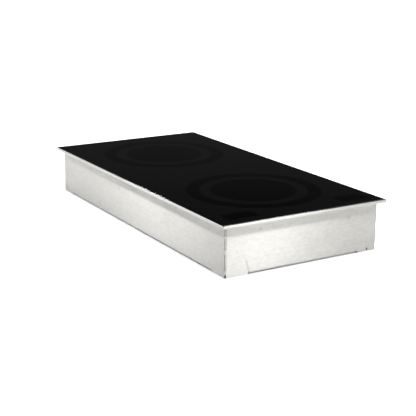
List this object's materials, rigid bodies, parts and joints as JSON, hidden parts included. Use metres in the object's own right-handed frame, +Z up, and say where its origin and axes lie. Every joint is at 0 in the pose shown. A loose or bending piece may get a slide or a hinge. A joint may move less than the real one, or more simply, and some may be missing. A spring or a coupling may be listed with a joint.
{
  "type": "drop-in induction cooktop",
  "caption": "Flat black glass cooking plate in a folded steel rim over a shallow box, dropped into a worktop cut-out to heat pans by induction.",
  "frame": {"origin": "middle of the plane the box stands on, under the centre of the glass", "axes": "+Z up through the glass, +Y from the display end to the end with the cable inlet, +X to the right seen from the display end"},
  "size_m": [0.36, 0.72, 0.1],
  "materials": {
    "brushed_steel": "satin brushed stainless steel",
    "weld_bead": "dull stainless weld bead",
    "ceramic_glass": "black ceramic glass, polished",
    "silicone": "black silicone",
    "galvanised": "galvanised sheet",
    "zinc_screw": "bright zinc plating",
    "aluminium": "mill finish aluminium",
    "litz": "enamelled copper litz",
    "ferrite": "sintered ferrite",
    "mica": "mica and ceramic fibre",
    "moulded_carrier": "heat resistant moulding",
    "spring_steel": "spring steel",
    "sensor_cap": "aluminium cap",
    "circuit_board": "green solder mask",
    "black_component": "moulded component body",
    "film_capacitor": "grey capacitor case",
    "relay_case": "orange relay case",
    "coil_wire": "enamelled copper wire",
    "display_lens": "dark red display",
    "blower_plastic": "black glass filled plastic",
    "motor_core": "laminated steel",
    "lead_insulation": "silicone lead insulation",
    "terminal_plastic": "light grey polyamide",
    "brass_contact": "brass",
    "gland_plastic": "grey polyamide",
    "socket_shell": "nickel plated shell"
  },
  "bodies": {
    "housing": {"base_cover": "galvanised", "blower_housing_front": "blower_plastic", "blower_housing_rear": "blower_plastic", "blower_lids": "blower_plastic", "blower_motors": "motor_core", "blower_screws": "zinc_screw", "board_posts": "zinc_screw", "board_screws": "zinc_screw", "carrier_springs": "spring_steel", "choke_cores": "ferrite", "choke_windings": "coil_wire", "coil_carrier_front": "moulded_carrier", "coil_carrier_rear": "moulded_carrier", "coil_terminals": "brass_contact", "coil_tray": "aluminium", "coil_winding_front": "litz", "coil_winding_rear": "litz", "control_board": "circuit_board", "control_relays": "relay_case", "control_sockets": "socket_shell", "control_transformer": "black_component", "corner_welds": "weld_bead", "cover_screws": "zinc_screw", "display_boards": "circuit_board", "display_modules": "display_lens", "earth_nuts": "brass_contact", "earth_stud": "brass_contact", "ferrite_bars": "ferrite", "film_capacitors": "film_capacitor", "filter_board": "circuit_board", "filter_capacitors": "film_capacitor", "filter_choke": "coil_wire", "fuse_blocks": "black_component", "gland_body": "gland_plastic", "gland_cap": "gland_plastic", "gland_locknut": "gland_plastic", "glass_bond": "silicone", "glass_top": "ceramic_glass", "guide_pins": "zinc_screw", "heatsink_front": "aluminium", "heatsink_rear": "aluminium", "insulation_pads": "mica", "mains_leads": "lead_insulation", "panel_front": "brushed_steel", "panel_left": "brushed_steel", "panel_rear": "brushed_steel", "panel_right": "brushed_steel", "power_boards": "circuit_board", "power_switches": "black_component", "socket_pins": "brass_contact", "supply_leads": "lead_insulation", "temperature_sensors": "sensor_cap", "terminal_block": "terminal_plastic", "terminal_screws": "brass_contact", "tray_brackets": "galvanised", "tray_screws": "zinc_screw"},
    "impeller_front": {"impeller_front": "blower_plastic"},
    "impeller_rear": {"impeller_rear": "blower_plastic"}
  },
  "joints": [
    {"name": "impeller_front_spin", "type": "hinge", "parent": "housing", "child": "impeller_front", "pos_m": [-0.095, -0.275, 0.02], "axis": [0, 0, 1], "continuous": true},
    {"name": "impeller_rear_spin", "type": "hinge", "parent": "housing", "child": "impeller_rear", "pos_m": [-0.095, 0.085, 0.02], "axis": [0, 0, 1], "continuous": true}
  ]
}
